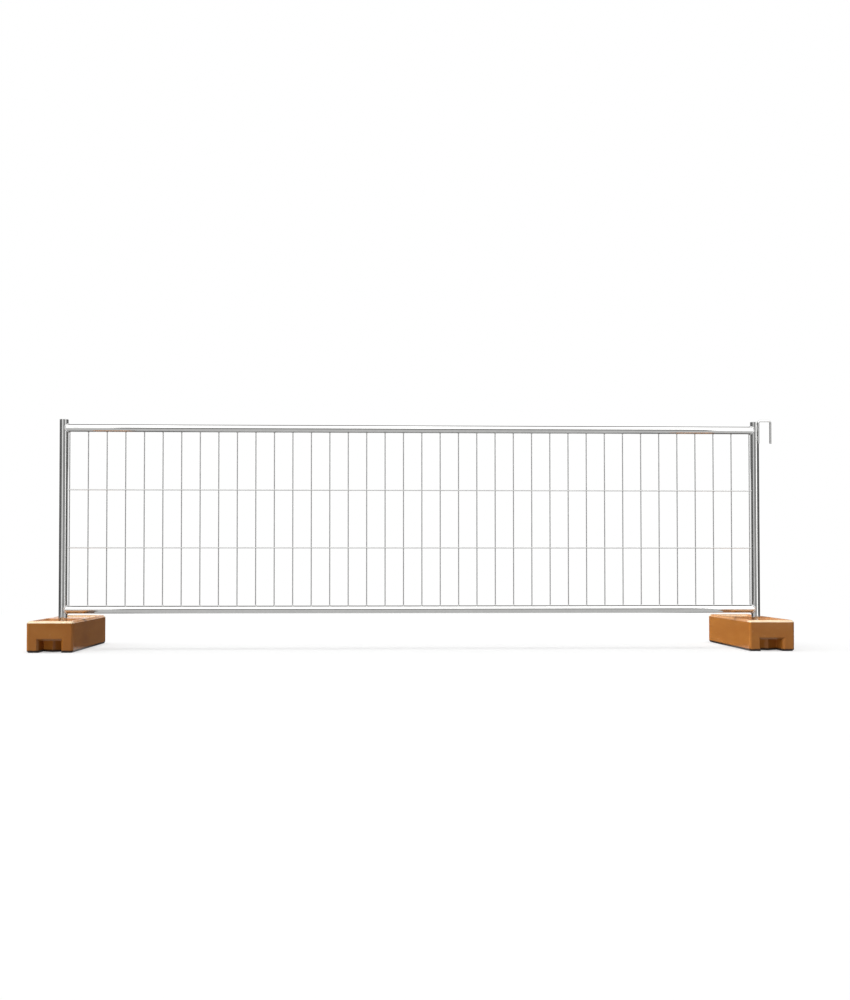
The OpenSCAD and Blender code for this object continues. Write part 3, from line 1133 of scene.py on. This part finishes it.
def add_rectangle(shape, size, place, tilt):
    """A rectangle about a place, tilted from level about X."""
    matrix = tilted_place(place, tilt) @ Matrix.Diagonal((*size, 1, 1))
    bmesh.ops.create_grid(shape, x_segments=1, y_segments=1, size=0.5, matrix=matrix)


def add_flag(shape, name, material):
    """A glowing surface that only mirror-like surfaces show."""
    flag = add_stage_mesh(shape, name, material)
    for ray in ("camera", "diffuse", "transmission", "volume_scatter", "shadow"):
        setattr(flag, "visible_" + ray, False)


def add_sun(name, place, strength, angle, shadow=True):
    """A wide, soft light, its angle in degrees, from the direction of a place, which no surface mirrors."""
    thing = add_lamp(name, "SUN", place, (0, 0, 0))
    thing.data.energy = strength
    thing.data.angle = math.radians(angle)
    thing.data.use_shadow = shadow
    thing.visible_glossy = False


def add_camera(stage):
    """The camera of the photograph's view."""
    lens = bpy.data.cameras.new("photograph view")
    lens.lens = stage.lens
    lens.shift_x, lens.shift_y = stage.shift
    camera = bpy.data.objects.new("photograph view", lens)
    bpy.context.scene.collection.objects.link(camera)
    camera.location = stage.eye
    camera.rotation_euler = (QUARTER_TURN + stage.tilt, 0, -stage.turn)
    bpy.context.scene.camera = camera


def add_grey_ring(stage):
    """The grey wall round the panel, open at the back."""
    shape = bmesh.new()
    top = extrude_loop(shape, circle_loop(shape, FLAG_SIDES, FLAG_RADIUS)[1])[0]
    bmesh.ops.translate(shape, verts=top, vec=(0, 0, FLAG_HEIGHT))
    back = []
    for face in shape.faces:
        place = face.calc_center_median()
        if place.y > FLAG_BACK["left" if place.x < 0 else "right"]:
            back.append(face)
    bmesh.ops.delete(shape, geom=back, context="FACES")
    add_flag(shape, "grey_ring", ring_finish(stage))


def add_grey_slope(stage):
    """The grey slope above and behind the panel."""
    shape = bmesh.new()
    add_rectangle(shape, SLOPE_SIZE, SLOPE_PLACE, SLOPE_TILT)
    add_flag(shape, "back_flag", glow_finish("grey slope", stage.back_flag)[0])


def add_dark_slats():
    """The low slats on the floor behind the panel."""
    shape = bmesh.new()
    for row in range(SLAT_ROWS):
        place = (0, SLAT_START + row * SLAT_PITCH, SLAT_HEIGHT / 2)
        add_rectangle(shape, (SLAT_LENGTH, SLAT_HEIGHT), place, QUARTER_TURN)
    add_flag(shape, "floor_slats", glow_finish("dark slats", DARK_LEVEL)[0])


class FENCE_OT_studio(bpy.types.Operator):
    """Sets up the camera, the white surround, the floor and the lamps"""

    bl_idname = "fence.studio"
    bl_label = "Studio"

    def execute(self, context):
        scene = context.scene
        stage = scene.fence_stage
        scene.view_settings.view_transform = "Standard"
        add_camera(stage)
        studio_world(stage)
        shape = bmesh.new()
        bmesh.ops.create_grid(shape, x_segments=1, y_segments=1, size=FLOOR_HALF)
        add_stage_mesh(shape, "floor", floor_finish())
        add_grey_ring(stage)
        add_grey_slope(stage)
        add_dark_slats()
        add_card("overhead card", place=(0, -2.8, 4.6), target=(0, 0, 0.6), size=(9.0, 6.8),
                 brightness=stage.overhead)
        add_card("left strip", place=(-3.0, -3.45, 1.0), target=(0, 0, 1.0), size=(1.5, 2.6),
                 brightness=stage.left_strip)
        add_card("right strip", place=(2.82, -2.64, 1.0), target=(-1.7, 0, 1.0), size=(1.1, 2.6),
                 brightness=stage.right_strip)
        add_sun("wide top light", place=(0, 0, 8), strength=stage.top_sun, angle=40)
        add_sun("low front light", place=(-5.5, -8.1, 2.0), strength=stage.front_sun, angle=20, shadow=False)
        return {"FINISHED"}


class FENCE_PT_sidebar(bpy.types.Panel):
    """Lists the sizes, colours and build steps of the fence panel"""

    bl_idname = "FENCE_PT_sidebar"
    bl_label = "Fence Panel"
    bl_space_type = "VIEW_3D"
    bl_region_type = "UI"
    bl_category = "Fence Panel"

    def draw(self, context):
        for key, group in GROUPS.items():
            box = self.layout.box()
            box.label(text=group.__doc__)
            for name in group.__annotations__:
                box.prop(getattr(context.scene, key), name)
        for operator in OPERATORS:
            self.layout.operator(operator.bl_idname)


GROUPS = {
    "fence_tubes": FencePanelTubes,
    "fence_foot": FencePanelFoot,
    "fence_welds": FencePanelWelds,
    "fence_finish": FencePanelFinish,
    "fence_stage": FencePanelStage,
}
OPERATORS = (
    FENCE_OT_studio, FENCE_OT_feet, FENCE_OT_posts, FENCE_OT_rails,
    FENCE_OT_hook, FENCE_OT_frame_welds, FENCE_OT_mesh,
)
CLASSES = (*GROUPS.values(), *OPERATORS, FENCE_PT_sidebar)


def register():
    for cls in CLASSES:
        bpy.utils.register_class(cls)
    for key, group in GROUPS.items():
        setattr(bpy.types.Scene, key, PointerProperty(type=group))


def unregister():
    for key in GROUPS:
        delattr(bpy.types.Scene, key)
    for cls in reversed(CLASSES):
        bpy.utils.unregister_class(cls)


def main():
    register()
    bpy.ops.fence.studio()
    bpy.ops.fence.feet()
    bpy.ops.fence.posts()
    bpy.ops.fence.rails()
    bpy.ops.fence.hook()
    bpy.ops.fence.frame_welds()
    bpy.ops.fence.mesh()


if __name__ == "__main__":
    main()
